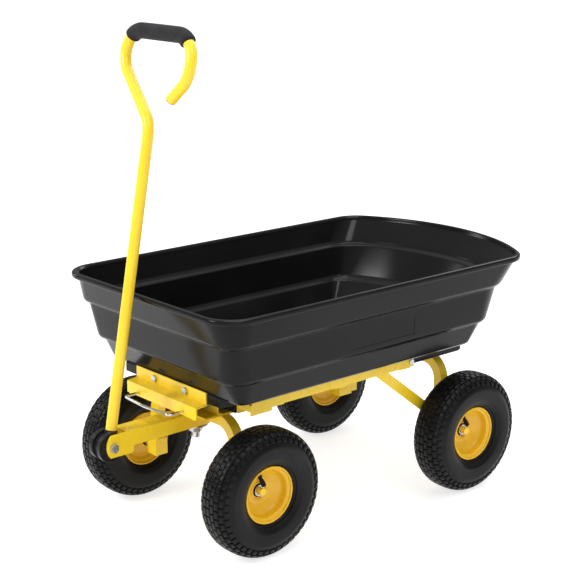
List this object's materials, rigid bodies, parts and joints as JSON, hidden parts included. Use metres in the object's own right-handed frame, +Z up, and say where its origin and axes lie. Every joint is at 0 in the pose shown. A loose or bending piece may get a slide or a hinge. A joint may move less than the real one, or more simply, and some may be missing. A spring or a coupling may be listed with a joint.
{
  "type": "garden cart",
  "caption": "Garden dump cart: stepped plastic tub on a steel running gear with pneumatic tyres, steered front axle, loop pull handle and sprung wire latch for tipping",
  "frame": {"origin": "on the ground under the middle of the cart's bounding box", "axes": "+X is the cart's right side, -Y its front where the handle is, +Z up"},
  "size_m": [0.548, 1.0154, 1.0167],
  "materials": {
    "yellow_paint": "gloss enamel",
    "tub_plastic": "semi-gloss moulded polyethylene",
    "tyre_rubber": "satin moulded rubber",
    "black_rubber": "satin",
    "black_plastic": "satin moulded",
    "foam": "matt closed-cell foam",
    "zinc": "bright zinc plate",
    "bright_wire": "polished chrome plate",
    "dark_steel": "blackened spring steel"
  },
  "bodies": {
    "chassis": {"centre_spine": "yellow_paint", "front_plate": "yellow_paint", "keeper_bracket": "yellow_paint", "kingpin": "zinc", "kingpin_nut": "zinc", "thrust_washer": "zinc", "rear_arch": "yellow_paint", "rear_axle_blocks": "yellow_paint", "rear_axle_stubs": "yellow_paint", "rear_axle_retainers": "zinc"},
    "steering": {"front_arch": "yellow_paint", "front_axle_blocks": "yellow_paint", "front_axle_stubs": "yellow_paint", "front_axle_retainers": "zinc", "drawbar": "yellow_paint", "handle_bolt": "zinc"},
    "handle": {"pivot_barrel": "black_plastic", "handle_tube": "yellow_paint", "handle_grip": "foam", "handle_end_plug": "black_plastic"},
    "tub_frame": {"tub": "tub_plastic", "rail_right": "yellow_paint", "rail_left": "yellow_paint", "brace_right": "yellow_paint", "brace_left": "yellow_paint", "front_brackets": "yellow_paint", "cross_straps": "yellow_paint", "latch_plate": "yellow_paint", "tub_bolts": "zinc", "bail_springs": "dark_steel"},
    "latch_bail": {"bail": "bright_wire", "bail_washers": "zinc"},
    "front_right_wheel": {"front_right_tyre": "tyre_rubber", "front_right_inner_tube": "tyre_rubber", "front_right_valve_stem": "black_rubber", "front_right_rim_outer": "yellow_paint", "front_right_rim_inner": "yellow_paint", "front_right_hub": "yellow_paint", "front_right_bearings": "dark_steel"},
    "front_left_wheel": {"front_left_tyre": "tyre_rubber", "front_left_inner_tube": "tyre_rubber", "front_left_valve_stem": "black_rubber", "front_left_rim_outer": "yellow_paint", "front_left_rim_inner": "yellow_paint", "front_left_hub": "yellow_paint", "front_left_bearings": "dark_steel"},
    "rear_right_wheel": {"rear_right_tyre": "tyre_rubber", "rear_right_inner_tube": "tyre_rubber", "rear_right_valve_stem": "black_rubber", "rear_right_rim_outer": "yellow_paint", "rear_right_rim_inner": "yellow_paint", "rear_right_hub": "yellow_paint", "rear_right_bearings": "dark_steel"},
    "rear_left_wheel": {"rear_left_tyre": "tyre_rubber", "rear_left_inner_tube": "tyre_rubber", "rear_left_valve_stem": "black_rubber", "rear_left_rim_outer": "yellow_paint", "rear_left_rim_inner": "yellow_paint", "rear_left_hub": "yellow_paint", "rear_left_bearings": "dark_steel"}
  },
  "joints": [
    {"name": "steer", "type": "hinge", "parent": "chassis", "child": "steering", "pos_m": [0, -0.26225, 0.24], "axis": [0, 0, 1], "range_deg": [-18, 18]},
    {"name": "handle_swing", "type": "hinge", "parent": "steering", "child": "handle", "pos_m": [0, -0.47775, 0.2195], "axis": [1, 0, 0], "range_deg": [0, 112]},
    {"name": "tub_tip", "type": "hinge", "parent": "chassis", "child": "tub_frame", "pos_m": [0, 0.28675, 0.13], "axis": [-1, 0, 0], "range_deg": [0, 70]},
    {"name": "bail_pull", "type": "slide", "parent": "tub_frame", "child": "latch_bail", "axis": [0, -1, 0], "range_m": [0, 0.018], "stiffness_N_per_m": 600, "springref_m": -0.015, "deforming": ["bail_springs"]},
    {"name": "front_right_spin", "type": "hinge", "parent": "steering", "child": "front_right_wheel", "pos_m": [0.205, -0.26225, 0.13], "axis": [1, 0, 0], "continuous": true},
    {"name": "front_left_spin", "type": "hinge", "parent": "steering", "child": "front_left_wheel", "pos_m": [-0.205, -0.26225, 0.13], "axis": [1, 0, 0], "continuous": true},
    {"name": "rear_right_spin", "type": "hinge", "parent": "chassis", "child": "rear_right_wheel", "pos_m": [0.231, 0.28675, 0.13], "axis": [1, 0, 0], "continuous": true},
    {"name": "rear_left_spin", "type": "hinge", "parent": "chassis", "child": "rear_left_wheel", "pos_m": [-0.231, 0.28675, 0.13], "axis": [1, 0, 0], "continuous": true}
  ]
}
